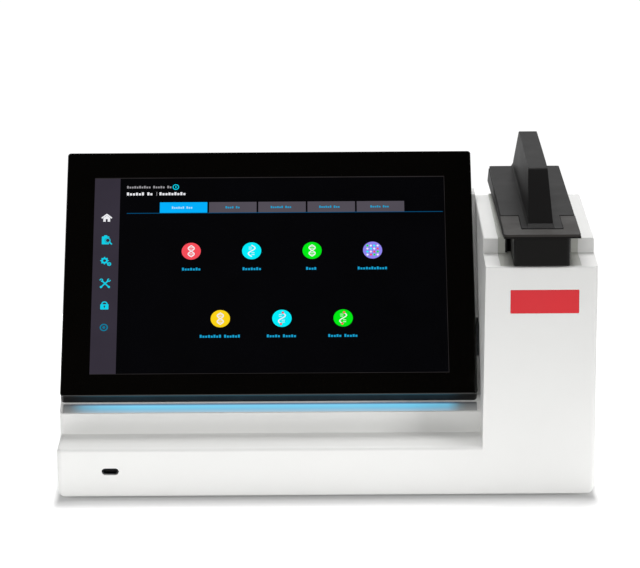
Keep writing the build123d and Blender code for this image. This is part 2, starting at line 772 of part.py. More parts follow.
SCREW_SHANK = 1.25


def board_screw_places():
    x0, x1, y0, y1 = BOARD
    return [(x, y) for x in (x0 + 5, x1 - 5) for y in (y0 + 5, y1 - 24)]


def main_board():
    board = block(*BOARD, BOARD_Z, BOARD_TOP)
    for x, y in board_screw_places():
        board -= bore(x, y, BOARD_Z, BOARD_TOP, 1.7)
    return board


def board_standoffs():
    standoffs = []
    for x, y in board_screw_places():
        thread = post(x, y, BOARD_Z - 5, BOARD_Z + 1, SCREW_SHANK + RUNNING)
        standoffs.append(post(x, y, TRAY_TOP_Z, BOARD_Z, 3.2) - thread)
    return standoffs


def board_screws():
    screws = []
    for x, y in board_screw_places():
        head = post(x, y, BOARD_TOP, BOARD_TOP + 1.8, 2.7)
        screws.append(head + post(x, y, BOARD_Z - 4, BOARD_TOP, SCREW_SHANK))
    return screws


def heat_sink():
    x0, x1, y0, y1 = SINK
    fin_foot = BOARD_TOP + SINK_BASE
    sink = block(*SINK, BOARD_TOP, fin_foot)
    for fin in range(FIN_COUNT):
        left = x0 + 0.5 + fin * FIN_PITCH
        sink += block(left, left + FIN_THICK, y0, y1, fin_foot, BOARD_TOP + SINK_HEIGHT)
    return sink


def power_board():
    """A board on two standoffs, with a coil and two capacitors."""
    board = block(*POWER_BOARD, BOARD_Z, BOARD_TOP)
    for x in (-4, 47):
        board += post(x, 161, TRAY_TOP_Z, BOARD_Z, 3)
    board += block(6, 24, 160, 178, BOARD_TOP, 24)
    for x in (33, 45):
        board += post(x, 166, BOARD_TOP, 28, 5)
    return board


def panel_screw_places():
    return [(x, z) for x in (PANEL_LEFT - 3, PANEL_RIGHT + 3) for z in (14, 53)]


def panel_cut(x, half, z0, z1):
    """A cutter for an opening through the rear panel."""
    return block(x - half, x + half, PANEL_FACE - 6, PANEL_FACE + 1, z0, z1)


def rear_panel():
    """A plate screwed on behind the housing's opening, with the sockets' openings and vents."""
    edge, gap = (6, 2), 0.2
    panel = block(
        PANEL_LEFT - edge[0],
        PANEL_RIGHT + edge[0],
        PANEL_FACE - PANEL_THICK,
        PANEL_FACE,
        PANEL_BOTTOM - edge[1],
        PANEL_TOP + edge[1],
    )
    for x, z in panel_screw_places():
        panel -= deep_rod(x, PANEL_FACE - 5, PANEL_FACE + 1, z, 1.3)
    sockets = [(ETHERNET_X, ETHERNET_HALF, ETHERNET_HEIGHT), (DC_X, DC_HALF + 0.1, DC_HEIGHT)]
    sockets += [(x, HOST_HALF, HOST_HEIGHT) for x in HOST_X]
    for x, half, height in sockets:
        panel -= panel_cut(x, half + gap, BOARD_TOP - gap, BOARD_TOP + height + gap)
    panel -= panel_cut(
        SWITCH_X,
        SWITCH_HALF + gap,
        SWITCH_Z - SWITCH_HALF_HEIGHT - gap,
        SWITCH_Z + SWITCH_HALF_HEIGHT + gap,
    )
    vent_half, vent_pitch = 1.3, 6
    for slot in range(16):
        panel -= panel_cut(PANEL_LEFT + 11.3 + vent_pitch * slot, vent_half, 40, 54)
    return panel


def rear_panel_screws():
    back = PANEL_FACE - PANEL_THICK
    screws = []
    for x, z in panel_screw_places():
        head = deep_rod(x, back - 1.8, back, z, 2.6)
        screws.append(head + deep_rod(x, back, PANEL_FACE + 1.8, z, SCREW_SHANK))
    return screws


def socket_block(x, half, front, z0, z1):
    """A block about x that reaches back to the sockets' mouths."""
    return block(x - half, x + half, front, PORT_MOUTH, z0, z1)


def socket_mouth(x, half, z0, z1):
    """A cutter for a socket's room, open at the back."""
    return block(x - half, x + half, SOCKET_FLOOR_Y, PORT_MOUTH + 1, z0, z1)


def ethernet_jack():
    body = socket_block(ETHERNET_X, ETHERNET_HALF, 182, BOARD_TOP, BOARD_TOP + ETHERNET_HEIGHT)
    mouth = socket_mouth(ETHERNET_X, 5.9, BOARD_TOP + 3.2, BOARD_TOP + 10.6)
    latch = socket_mouth(ETHERNET_X, 3.0, BOARD_TOP + 1.4, BOARD_TOP + 3.2)
    return body - mouth - latch


def usb_host_ports():
    ports = []
    for x in HOST_X:
        shell = socket_block(x, HOST_HALF, 186, BOARD_TOP, BOARD_TOP + HOST_HEIGHT)
        mouth = socket_mouth(x, HOST_HALF - 0.85, BOARD_TOP + 0.9, BOARD_TOP + HOST_HEIGHT - 0.9)
        tongue = block(x - 5.5, x + 5.5, SOCKET_FLOOR_Y, PORT_MOUTH - 2, BOARD_TOP + 3.7, BOARD_TOP + 5.5)
        ports.append(shell - mouth + tongue)
    return ports


def dc_jack():
    z = BOARD_TOP + DC_HEIGHT / 2
    floor_y = SOCKET_FLOOR_Y + 4
    body = socket_block(DC_X, DC_HALF, SOCKET_FLOOR_Y, BOARD_TOP, BOARD_TOP + DC_HEIGHT)
    body -= deep_rod(DC_X, floor_y, PORT_MOUTH + 1, z, 2.9)
    return body + deep_rod(DC_X, floor_y, PORT_MOUTH - 2, z, 1.05)


def power_switch_housing():
    """A bezel on the panel and a body behind it, with room for the rocker and its pivots."""

    def about_switch(half, half_height, front, back):
        return block(
            SWITCH_X - half, SWITCH_X + half, front, back, SWITCH_Z - half_height, SWITCH_Z + half_height
        )

    bezel = about_switch(8, 11.3, PANEL_FACE, PANEL_FACE + 2)
    bezel = chamfer(bezel.faces().sort_by(Axis.Y)[-1].edges(), 0.7)
    body = about_switch(SWITCH_HALF, SWITCH_HALF_HEIGHT, 186, PANEL_FACE)
    room = about_switch(5.1, 8.9, 192.5, PANEL_FACE + 3)
    seat = SWITCH_PIVOT_RADIUS + RUNNING
    return bezel + body - room - cross_rod(SWITCH_X - 6, SWITCH_X + 6, SWITCH_PIVOT_Y, SWITCH_Z, seat)


def power_rocker():
    points = [(3.4, -8.2), (2.3, 0), (3.4, 8.2), (0.8, 8.2), (-3.4, 3.5), (-3.4, -3.5), (0.8, -8.2)]
    paddle = along_x(rounded(points, [0.5, 1.0, 0.5, 0.3, 0, 0, 0.3]), -4.8, 4.8)
    paddle += cross_rod(-5.9, 5.9, 0, 0, SWITCH_PIVOT_RADIUS)
    return Pos(SWITCH_X, SWITCH_PIVOT_Y, SWITCH_Z) * Rot(ROCKER_REST, 0, 0) * paddle


# ---- arm ----
NOTCH_BACK = 40.4
COVER_FRONT = 7.2
COVER_MARGIN = 0.4
TONGUE = (115.7, 139.9)
ARM_LEFT = ARM_X - ARM_WIDTH / 2
ARM_RIGHT = ARM_X + ARM_WIDTH / 2
TRAY_TOP = ARM_TOP - COVER_THICK
PAD_TOP = ARM_TOP - 0.3
SCREW_SEAT = 1.8
KNUCKLE_HALF = 15.0
KNUCKLE_RADIUS = 5.3
BUSH_RADIUS = 3.5
NOSE_WALL = 2.5
BUSH_OUTER = 5.0
UPPER_RADIUS = 3.0
PLINTH_HALF = 8.2
PLINTH_TOP = ARM_TOP + 1.6
PLINTH_FRONT = 9.5
FIN_TOP = 193.9


def arm_cover():
    left, right = ARM_LEFT + COVER_MARGIN, ARM_RIGHT - COVER_MARGIN
    cover = plan(left, right, NOTCH_BACK, ARM_BACK, TRAY_TOP, ARM_TOP, [0, 0, 1.5, 1.5])
    cover += block(TONGUE[0], TONGUE[1], COVER_FRONT, NOTCH_BACK + 1, TRAY_TOP, ARM_TOP)
    front = cover.edges().filter_by(Axis.X).group_by(Axis.Y)[0].sort_by(Axis.Z)[-1]
    cover = chamfer(front, 0.9)
    for x, y in arm_screw_places():
        cover -= post(x, y, TRAY_TOP - 1, ARM_TOP - 0.5, 1.3)
    return cover


def front_grip_pad():
    pad = plan(ARM_LEFT, ARM_RIGHT, ARM_FRONT, NOTCH_BACK - 0.3, TRAY_TOP, PAD_TOP, [2, 2, 0, 0])
    pad = fillet(pad.edges().filter_by(Axis.X).group_by(Axis.Y)[0].sort_by(Axis.Z)[-1], 0.4)
    return pad - block(TONGUE[0] - 0.3, TONGUE[1] + 0.3, COVER_FRONT - 0.2, 60, 150, 170)


def arm_tray():
    """The arm's tapered frame, with the hinge's knuckle under its tail."""
    under = [
        (ARM_FRONT, TRAY_FRONT_UNDER),
        (ARM_FRONT, TRAY_TOP),
        (ARM_BACK, TRAY_TOP),
        (ARM_BACK, TRAY_BACK_UNDER),
    ]
    left, right = ARM_LEFT - ARM_FLARE, ARM_RIGHT + ARM_FLARE
    foot, top = TRAY_BACK_UNDER, TRAY_TOP
    tray = along_x(rounded(under, [0.3, 0, 0, 0.8]), left, right)
    tray &= plan(left, right, ARM_FRONT, ARM_BACK, 140, 165, [2, 2, 1, 1])
    flared = make_face(Polyline((left, foot), (right, foot), (ARM_RIGHT, top), (ARM_LEFT, top), close=True))
    tray &= along_y(flared, ARM_FRONT, ARM_BACK)
    wide, narrow = 9, 5
    web = make_face(
        Polyline(
            (HINGE_Y - wide, tray_under(HINGE_Y - wide)),
            (HINGE_Y + wide, tray_under(HINGE_Y + wide)),
            (HINGE_Y + narrow, HINGE_Z),
            (HINGE_Y - narrow, HINGE_Z),
            close=True,
        )
    )
    tray += along_x(web, ARM_X - KNUCKLE_HALF, ARM_X + KNUCKLE_HALF)
    tray += cross_rod(ARM_X - KNUCKLE_HALF, ARM_X + KNUCKLE_HALF, HINGE_Y, HINGE_Z, KNUCKLE_RADIUS)
    tray -= cross_rod(ARM_X - 30, ARM_X + 30, HINGE_Y, HINGE_Z, BUSH_RADIUS)
    for x, y in arm_screw_places():
        tray -= post(x, y, 140, TRAY_TOP + 1, 1.4)
        tray -= post(x, y, 140, tray_under(y) + SCREW_SEAT, 2.7)
    return tray


def arm_screw_places():
    return [(ARM_X + side * 19.2, y) for side in (-1, 1) for y in (60, 140)]


def arm_screws():
    screws = []
    for x, y in arm_screw_places():
        seat = tray_under(y) + SCREW_SEAT
        screws.append(post(x, y, seat - 1.5, seat, 2.5) + post(x, y, seat, ARM_TOP - 0.6, SCREW_SHANK))
    return screws


def nose_block():
    """A hollow block with a boss for the upper pedestal and a recess around its tip."""
    half = NOSE_WIDTH / 2
    side = [
        (NOSE_FRONT, NOSE_BOTTOM),
        (NOSE_FRONT, tray_under(NOSE_FRONT)),
        (NOSE_BACK, tray_under(NOSE_BACK)),
        (NOSE_BACK, NOSE_BOTTOM),
    ]
    outer = along_x(rounded(side, [0.8, 0, 0, 2]), ARM_X - half, ARM_X + half)
    outer &= plan(ARM_X - half, ARM_X + half, NOSE_FRONT, NOSE_BACK, 140, 165, [3, 3, 2, 2])
    room = plan(
        ARM_X - half + NOSE_WALL,
        ARM_X + half - NOSE_WALL,
        NOSE_FRONT + NOSE_WALL,
        NOSE_BACK - NOSE_WALL,
        NOSE_BOTTOM + NOSE_WALL,
        165,
        [1] * 4,
    )
    boss = post(ARM_X, PEDESTAL_Y, NOSE_BOTTOM + 0.1, 154, 11.4)
    nose = outer - room + boss
    nose -= post(ARM_X, PEDESTAL_Y, NOSE_BOTTOM - 1, NOSE_BOTTOM + 5, 9)
    return nose - post(ARM_X, PEDESTAL_Y, NOSE_BOTTOM, 165, BUSH_OUTER)


def upper_pedestal():
    tip_z = PEDESTAL_TIP + PATH_LENGTH
    shoulder = tip_z + 1.2
    body = post(ARM_X, PEDESTAL_Y, shoulder, 155.5, UPPER_RADIUS)
    body = chamfer(body.edges().group_by(Axis.Z)[0], 0.5)
    tip = post(ARM_X, PEDESTAL_Y, tip_z, shoulder, TIP_RADIUS)
    return tip + body - post(ARM_X, PEDESTAL_Y, 149, 156, 1.0)


def pedestal_bush():
    bottom, top = NOSE_BOTTOM + 4.0, 154.5
    bush = post(ARM_X, PEDESTAL_Y, bottom, top, BUSH_OUTER)
    return bush - bore(ARM_X, PEDESTAL_Y, bottom, top, UPPER_RADIUS)


def arm_handle():
    """Upright fin with drafted sides and a sloping front, on a low plinth."""
    side = [(13.4, PLINTH_TOP), (43.0, FIN_TOP - 2), (137.6, FIN_TOP), (171.5, PLINTH_TOP)]
    fin = along_x(rounded(side, [0, 4, 10, 0]), ARM_X - PLINTH_HALF, ARM_X + PLINTH_HALF)
    draft = [(-7.3, PLINTH_TOP), (7.3, PLINTH_TOP), (5.6, FIN_TOP + 0.1), (-5.6, FIN_TOP + 0.1)]
    fin &= Pos(ARM_X, 0, 0) * along_y(rounded(draft, [0, 0, 1.7, 1.7]), 0, DEPTH)
    length = [
        (PLINTH_FRONT, ARM_TOP),
        (PLINTH_FRONT + 3.2, PLINTH_TOP),
        (ARM_BACK, PLINTH_TOP),
        (ARM_BACK, ARM_TOP),
    ]
    plinth = along_x(make_face(Polyline(*length, close=True)), ARM_X - PLINTH_HALF, ARM_X + PLINTH_HALF)
    half, top_half = PLINTH_HALF, PLINTH_HALF - 0.8
    across = [(-half, ARM_TOP), (half, ARM_TOP), (top_half, PLINTH_TOP), (-top_half, PLINTH_TOP)]
    plinth &= Pos(ARM_X, 0, 0) * along_y(make_face(Polyline(*across, close=True)), 0, DEPTH)
    return fin + plinth


# ---- hinge ----
WASHER_GAP = 0.1
WASHER_THICK = 1.2
LUG_THICK = 3.0
LUG_RADIUS = 5.4
LUG_INNER = KNUCKLE_HALF + WASHER_GAP + WASHER_THICK
PLATE_THICK = 2.0
PLATE_HALF = 28.0
PLATE_Y = (HINGE_Y - 8, HINGE_Y + 12)


def hinge_screw_places():
    return [(ARM_X + side * 23.5, y) for side in (-1, 1) for y in (HINGE_Y - 5, HINGE_Y + 5)]


def both_sides(inner, outer):
    """The x ranges between two distances from the arm's middle, on its left and its right."""
    return [(ARM_X - outer, ARM_X - inner), (ARM_X + inner, ARM_X + outer)]


def hinge_ring(x0, x1, outer, inner):
    """A ring around the hinge's axis."""
    ring = cross_rod(x0, x1, HINGE_Y, HINGE_Z, outer)
    return ring - cross_rod(x0 - 1, x1 + 1, HINGE_Y, HINGE_Z, inner)


def hinge_pin():
    reach = LUG_INNER + LUG_THICK + 0.2
    return cross_rod(ARM_X - reach, ARM_X + reach, HINGE_Y, HINGE_Z, PIN_RADIUS)


def hinge_bushes():
    return [
        hinge_ring(x0, x1, BUSH_RADIUS, PIN_RADIUS + RUNNING)
        for x0, x1 in both_sides(KNUCKLE_HALF - 10, KNUCKLE_HALF)
    ]


def friction_washers():
    return [
        hinge_ring(x0, x1, 4.8, PIN_RADIUS) for x0, x1 in both_sides(KNUCKLE_HALF + WASHER_GAP, LUG_INNER)
    ]


def hinge_bracket():
    """A plate on the rear deck with two lugs that carry the pin."""
    top = REAR_DECK + PLATE_THICK
    bracket = plan(ARM_X - PLATE_HALF, ARM_X + PLATE_HALF, *PLATE_Y, REAR_DECK, top, [2] * 4)
    bracket -= block(ARM_X - 7, ARM_X + 7, PLATE_Y[0] - 1, PLATE_Y[0] + 3.5, REAR_DECK - 1, top + 1)
    for x0, x1 in both_sides(LUG_INNER, LUG_INNER + LUG_THICK):
        bracket += block(x0, x1, HINGE_Y - LUG_RADIUS, HINGE_Y + LUG_RADIUS, top - 1, HINGE_Z)
        bracket += cross_rod(x0, x1, HINGE_Y, HINGE_Z, LUG_RADIUS)
    bracket -= cross_rod(ARM_X - 30, ARM_X + 30, HINGE_Y, HINGE_Z, PIN_RADIUS)
    for x, y in hinge_screw_places():
        bracket -= bore(x, y, REAR_DECK, top, HINGE_SCREW_RADIUS + 0.1)
    return bracket


def hinge_screws():
    seat = REAR_DECK + PLATE_THICK
    screws = []
    for x, y in hinge_screw_places():
        head = post(x, y, seat, seat + 1.4, 2.6) - post(x, y, seat + 0.8, seat + 2, 1.2)
        screws.append(head + post(x, y, REAR_DECK - WALL - 2, seat, HINGE_SCREW_RADIUS))
    return screws


NODES = [
    main_housing, base_tray, rubber_feet, housing_screws, front_badge, rear_panel, rear_panel_screws,
    light_bar_lens, light_bar_board, light_bar_leds, front_usb_shell, front_usb_tongue, front_usb_board,
    display_glass, display_gasket, display_panel, display_frame, display_screws,
    deck_insert, arm_well, pedestal_seal, lower_pedestal, lift_carriage, lift_guide_rods, lift_bracket,
    lift_screw, lift_motor, arm_stops,
    optics_bench, optics_cover, diffraction_grating, collimating_mirrors, sensor_board,
    lamp_bracket, flash_lamp, detector_fibre, source_fibre,
    main_board, board_standoffs, board_screws, heat_sink, power_board,
    ethernet_jack, usb_host_ports, dc_jack, power_switch_housing, power_rocker,
    arm_cover, arm_handle, front_grip_pad, arm_tray, arm_screws, nose_block, upper_pedestal, pedestal_bush,
    hinge_pin, hinge_bushes, friction_washers, hinge_bracket, hinge_screws,
]

if __name__ == "__main__":
    os.makedirs("parts", exist_ok=True)
    for make in NODES:
        made = make()
        pieces = made if isinstance(made, list) else made.solids()
        placed = [Pos(0, -ORIGIN_Y, 0) * piece for piece in pieces]
        solids = [solid for piece in placed for solid in piece.solids()]
        export_step(Compound(children=solids), os.path.join("parts", f"{make.__name__}.step"))
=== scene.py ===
"""Looks of a bench-top microvolume spectrophotometer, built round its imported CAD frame.

Lengths are metres in the frame of the CAD: X to the user's right, Y away from the user, Z up.
Sizes on the display are millimetres across and up from the lower left corner of its cover glass.
"""

import json
import math

import bmesh
import bpy
from mathutils import Matrix, Vector


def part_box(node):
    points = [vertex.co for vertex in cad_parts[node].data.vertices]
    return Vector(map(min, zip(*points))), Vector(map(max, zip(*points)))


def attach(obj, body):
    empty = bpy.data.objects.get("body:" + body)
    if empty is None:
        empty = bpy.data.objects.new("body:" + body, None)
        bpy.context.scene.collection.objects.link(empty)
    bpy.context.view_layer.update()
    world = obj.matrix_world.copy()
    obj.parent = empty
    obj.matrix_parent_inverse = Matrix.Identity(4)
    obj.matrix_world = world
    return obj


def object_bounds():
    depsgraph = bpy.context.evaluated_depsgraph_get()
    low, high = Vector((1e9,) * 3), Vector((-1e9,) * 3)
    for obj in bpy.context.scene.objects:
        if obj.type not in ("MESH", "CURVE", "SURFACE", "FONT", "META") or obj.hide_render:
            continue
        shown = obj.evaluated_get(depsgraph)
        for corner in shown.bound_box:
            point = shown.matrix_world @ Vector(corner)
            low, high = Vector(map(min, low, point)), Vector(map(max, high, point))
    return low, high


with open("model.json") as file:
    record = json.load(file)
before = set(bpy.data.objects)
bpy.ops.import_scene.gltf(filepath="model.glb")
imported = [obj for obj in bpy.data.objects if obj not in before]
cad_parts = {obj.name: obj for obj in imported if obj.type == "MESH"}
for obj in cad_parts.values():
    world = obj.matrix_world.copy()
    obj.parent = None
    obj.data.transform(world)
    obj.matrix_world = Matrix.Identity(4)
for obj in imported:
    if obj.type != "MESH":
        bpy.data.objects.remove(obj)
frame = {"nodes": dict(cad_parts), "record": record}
cad_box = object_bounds()

MM = 0.001
NODES = frame["nodes"]
SCENE = bpy.context.scene


# ---- camera ----
CAMERA_PLACE = Vector((-0.00361, -1.97723, 0.63327))
CAMERA_PITCH = math.radians(14.932)
CAMERA_YAW = math.radians(0.0214)
CAMERA_ROLL = math.radians(-0.355)
CAMERA_LENS = 186.42
SENSOR_WIDTH = 36.0


def make_camera():
    """A long lens in front of the instrument and a little above it."""
    level = math.cos(CAMERA_PITCH)
    forward = Vector(
        (math.sin(CAMERA_YAW) * level, math.cos(CAMERA_YAW) * level, -math.sin(CAMERA_PITCH))
    )
    flat_right = Vector((math.cos(CAMERA_YAW), -math.sin(CAMERA_YAW), 0))
    flat_up = flat_right.cross(forward)
    right = flat_right * math.cos(CAMERA_ROLL) + flat_up * math.sin(CAMERA_ROLL)
    up = flat_up * math.cos(CAMERA_ROLL) - flat_right * math.sin(CAMERA_ROLL)
    data = bpy.data.cameras.new("camera")
    data.lens = CAMERA_LENS
    data.sensor_width = SENSOR_WIDTH
    camera = add_object("camera", data)
    turn = Matrix((right, up, -forward)).transposed()
    camera.matrix_world = Matrix.Translation(CAMERA_PLACE) @ turn.to_4x4()
    SCENE.camera = camera


# ---- shader helpers ----
def linear(red, green, blue):
    """A colour given as 0 to 255 screen values, as the linear values that shaders take."""
    shares = [value / 255 for value in (red, green, blue)]
    return [s / 12.92 if s <= 0.04045 else ((s + 0.055) / 1.055) ** 2.4 for s in shares] + [1.0]


def scaled(colour, factor):
    return [min(1.0, channel * factor) for channel in colour[:3]] + [1.0]


def grey(level):
    return (level, level, level, 1.0)


def set_stops(ramp, stops):
    """Gives a colour ramp its stops; each is a position and a colour."""
    elements = ramp.color_ramp.elements
    while len(elements) < len(stops):
        elements.new(0.5)
    for element, (position, colour) in zip(elements, stops):
        element.position = position
        element.color = colour


def add_object(name, data):
    """A new object in the scene, at the origin."""
    made = bpy.data.objects.new(name, data)
    SCENE.collection.objects.link(made)
    return made


def add_mesh(name, mesh, materials):
    """A new object from a bmesh, which is used up, with the given materials."""
    data = bpy.data.meshes.new(name)
    mesh.to_mesh(data)
    mesh.free()
    for material in materials:
        data.materials.append(material)
    return add_object(name, data)


class Look:
    """A material in the making: its node tree, its shader, and the object's own coordinates."""

    def __init__(self, name, **sockets):
        self.material = bpy.data.materials.new(name)
        self.material.use_nodes = True
        self.tree = self.material.node_tree
        self.shader = self.tree.nodes["Principled BSDF"]
        for socket, value in sockets.items():
            self.shader.inputs[socket.replace("_", " ")].default_value = value
        self.place = self.node("ShaderNodeTexCoord").outputs["Object"]

    def node(self, kind, **settings):
        made = self.tree.nodes.new(kind)
        for key, value in settings.items():
            setattr(made, key, value)
        return made

    def link(self, source, target):
        self.tree.links.new(source, target)

    def stretched(self, scale):
        """The object's coordinates multiplied by a scale for each axis."""
        mapping = self.node("ShaderNodeMapping")
        mapping.inputs["Scale"].default_value = scale
        self.link(self.place, mapping.inputs["Vector"])
        return mapping.outputs["Vector"]

    def noise(self, size, detail=2.0, place=None):
        """Soft noise whose features are about size metres across."""
        noise = self.node("ShaderNodeTexNoise")
        noise.inputs["Scale"].default_value = 1 / size
        noise.inputs["Detail"].default_value = detail
        self.link(place or self.place, noise.inputs["Vector"])
        return noise.outputs["Fac"]

    def ramp(self, factor, stops):
        """Colours blended along a factor; each stop is a position and a colour."""
        ramp = self.node("ShaderNodeValToRGB")
        set_stops(ramp, stops)
        self.link(factor, ramp.inputs["Fac"])
        return ramp.outputs["Color"]

    def spread(self, factor, low, high, start=0.3, end=0.7):
        """A number from low to high as the factor goes from start to end."""
        chosen = self.node("ShaderNodeMapRange")
        for socket, value in (
            ("From Min", start),
            ("From Max", end),
            ("To Min", low),
            ("To Max", high),
        ):
            chosen.inputs[socket].default_value = value
        self.link(factor, chosen.inputs["Value"])
        return chosen.outputs["Result"]

    def axis(self, letter):
        """One of the object's own coordinates, in metres."""
        split = self.node("ShaderNodeSeparateXYZ")
        self.link(self.place, split.inputs["Vector"])
        return split.outputs[letter]

    def arithmetic(self, operation, value, *others):
        """The result of a Math node on a value and perhaps a number."""
        step = self.node("ShaderNodeMath", operation=operation)
        self.link(value, step.inputs[0])
        for other in others:
            step.inputs[1].default_value = other
        return step.outputs["Value"]

    def tint(self, colour, change, size, socket="Base Color", detail=3.0):
        """A colour that drifts a little, in patches of the given size."""
        drift = self.noise(size, detail)
        stops = [(0.3, scaled(colour, 1 - change)), (0.7, scaled(colour, 1 + change))]
        self.link(self.ramp(drift, stops), self.shader.inputs[socket])

    def gloss(self, low, high, size):
        """Roughness that varies between low and high."""
        self.link(self.spread(self.noise(size, 3.0), low, high), self.shader.inputs["Roughness"])

    def relief(self, height, depth):
        """Bumps that follow a height from 0 to 1, of the given depth in metres."""
        bump = self.node("ShaderNodeBump")
        bump.inputs["Distance"].default_value = depth
        self.link(height, bump.inputs["Height"])
        self.link(bump.outputs["Normal"], self.shader.inputs["Normal"])

    def grain(self, size, depth, place=None, detail=2.0):
        """A fine relief of the given size and depth, in metres."""
        self.relief(self.noise(size, detail, place), depth)


def moulded(name, colour, change, rough, grain, level):
    """Moulded plastic with a spark-eroded grain and a slight drift of tone and gloss."""
    look = Look(name, Specular_IOR_Level=level)
    look.tint(linear(*colour), change, 40 * MM)
    look.gloss(*rough, 15 * MM)
    size, depth = grain
    look.grain(size * MM, depth * MM)
    return look.material


def brushed(name, colour, rough, along, depth):
    """Metal with fine lines along one axis."""
    look = Look(name, Metallic=1.0)
    lines = look.stretched(along)
    look.tint(linear(*colour), 0.06, 12 * MM)
    streaks = look.noise(2.5 * MM, 4.0, lines)
    look.link(look.spread(streaks, *rough), look.shader.inputs["Roughness"])
    look.grain(0.8 * MM, depth * MM, lines, 4.0)
    return look.material


def circuit(name):
    """Solder mask over copper tracks."""
    look = Look(name, Specular_IOR_Level=0.5)
    tracks = look.node("ShaderNodeTexBrick", offset=0.35, squash=0.6)
    for socket, value in (
        ("Color1", linear(10, 62, 38)),
        ("Color2", linear(16, 78, 46)),
        ("Mortar", linear(4, 40, 24)),
        ("Scale", 90.0),
        ("Mortar Size", 0.03),
    ):
        tracks.inputs[socket].default_value = value
    look.link(look.place, tracks.inputs["Vector"])
    look.link(tracks.outputs["Color"], look.shader.inputs["Base Color"])
    look.gloss(0.22, 0.4, 5 * MM)
    look.relief(tracks.outputs["Fac"], 0.03 * MM)
    return look.material


def cover_glass():
    """Black-bordered cover glass with faint wipe marks in its gloss."""
    look = Look("cover_glass", Specular_IOR_Level=0.5)
    look.tint(linear(5, 4, 3), 0.15, 60 * MM)
    wipes = look.noise(30 * MM, 5.0, look.stretched((1, 3, 3)))
    look.link(look.spread(wipes, 0.03, 0.09), look.shader.inputs["Roughness"])
    return look.material


def glow(name, colour, strength=1.0, change=0.05):
    """A lit part of the display's picture, behind the same gloss as the glass round it."""
    look = Look(
        name,
        Base_Color=grey(0.001),
        Specular_IOR_Level=0.5,
        Roughness=0.05,
        Emission_Strength=strength,
    )
    look.tint(colour, change, 25 * MM, "Emission Color", 2.0)
    look.grain(0.2 * MM, 0.0005 * MM)
    return look.material


# the share of the diffuser's light that shows at each place along it, in metres to the right
LIT_ALONG = [
    (-0.158, 0.0),
    (-0.154, 0.03),
    (-0.151, 0.2),
    (-0.146, 0.52),
    (-0.136, 0.82),
    (-0.115, 1.0),
    (0.050, 1.0),
    (0.074, 0.72),
    (0.078, 0.38),
    (0.081, 0.1),
    (0.085, 0.0),
]
# the diffuser's glow colours by height, from 0 at its foot to 1 at its top; the dark last stops
# are painted shade under the display frame
LAMP_COLOURS_AND_PAINTED_SHADE = [
    (0.60, linear(134, 176, 198)),
    (0.70, linear(102, 176, 210)),
    (0.80, linear(88, 188, 222)),
    (0.88, linear(104, 200, 236)),
    (0.95, linear(54, 118, 156)),
    (1.0, linear(34, 66, 98)),
]
# where the lamp is off: a dim grey glow, painted light standing for the diffuser's ends in shade,
# going black at the top as painted shade under the display frame
PAINTED_SHADE_AT_ENDS = [
    (0.6, linear(98, 98, 96)),
    (0.86, linear(66, 68, 68)),
    (0.97, grey(0)),
]


def light_bar():
    """Milky diffuser, lit from behind along most of its length; its ends glow a dim grey, painted
    light standing for their look in shade, and its top edge darkens as painted shade under the
    display frame.
    """
    look = Look("light_diffuser", Specular_IOR_Level=0.35, Roughness=0.4, Emission_Strength=1.0)
    look.tint(linear(132, 134, 136), 0.03, 20 * MM)
    low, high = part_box("light_bar_lens")
    height = look.spread(look.axis("Z"), 0.0, 1.0, low.z, high.z)
    start, end = LIT_ALONG[0][0], LIT_ALONG[-1][0]
    along = look.spread(look.axis("X"), 0.0, 1.0, start, end)
    shares = [((place - start) / (end - start), grey(share)) for place, share in LIT_ALONG]
    mix = look.node("ShaderNodeMix", data_type="RGBA")
    look.link(look.ramp(along, shares), mix.inputs["Factor"])
    # the ends take the painted grey glow of their shaded look, and the rest takes the lamp's
    # colours with painted shade at the top
    look.link(look.ramp(height, PAINTED_SHADE_AT_ENDS), mix.inputs["A"])
    look.link(look.ramp(height, LAMP_COLOURS_AND_PAINTED_SHADE), mix.inputs["B"])
    look.link(mix.outputs["Result"], look.shader.inputs["Emission Color"])
    look.grain(0.6 * MM, 0.01 * MM)
    return look.material


def pressed_fibre():
    """Compressed fibre of the hinge's friction washers."""
    look = Look("friction_fibre", Specular_IOR_Level=0.3)
    look.tint(linear(110, 92, 66), 0.2, 1.5 * MM)
    look.gloss(0.7, 0.85, 2 * MM)
    look.grain(0.3 * MM, 0.03 * MM)
    return look.material


MOULDED = {
    # slot: (screen colour, drift of tone, roughness range, grain in mm and its depth, specular)
    "white_shell": ((239, 239, 237), 0.006, (0.34, 0.44), (0.45, 0.012), 0.4),
    "deck_grey": ((196, 197, 190), 0.015, (0.38, 0.46), (0.5, 0.02), 0.4),
    "panel_grey": ((150, 152, 155), 0.03, (0.5, 0.62), (0.6, 0.05), 0.4),
    "tray_steel": ((176, 178, 180), 0.03, (0.5, 0.6), (0.9, 0.05), 0.4),
    "black_rubber": ((32, 32, 33), 0.1, (0.75, 0.9), (0.4, 0.05), 0.3),
    "black_plastic": ((13, 12, 12), 0.08, (0.4, 0.52), (0.5, 0.02), 0.16),
    "badge_red": ((222, 38, 48), 0.03, (0.12, 0.2), (3, 0.01), 0.4),
    "arm_grey": ((21, 20, 20), 0.02, (0.45, 0.5), (0.4, 0.02), 0.06),
    "pad_grey": ((48, 45, 43), 0.05, (0.55, 0.68), (0.35, 0.03), 0.2),
    "nose_black": ((14, 13, 12), 0.08, (0.36, 0.46), (0.5, 0.02), 0.1),
    "lcd_black": ((6, 6, 7), 0.1, (0.1, 0.2), (0.5, 0.02), 0.4),
    "fibre_jacket": ((36, 60, 110), 0.1, (0.35, 0.5), (0.5, 0.02), 0.4),
    "led_white": ((226, 228, 200), 0.05, (0.1, 0.2), (0.5, 0.02), 0.4),
    "motor_black": ((38, 38, 40), 0.08, (0.35, 0.5), (0.8, 0.03), 0.4),
}
LINES_ALONG_X, LINES_ALONG_Y, LINES_ALONG_Z = (1, 12, 12), (12, 1, 12), (12, 12, 1)
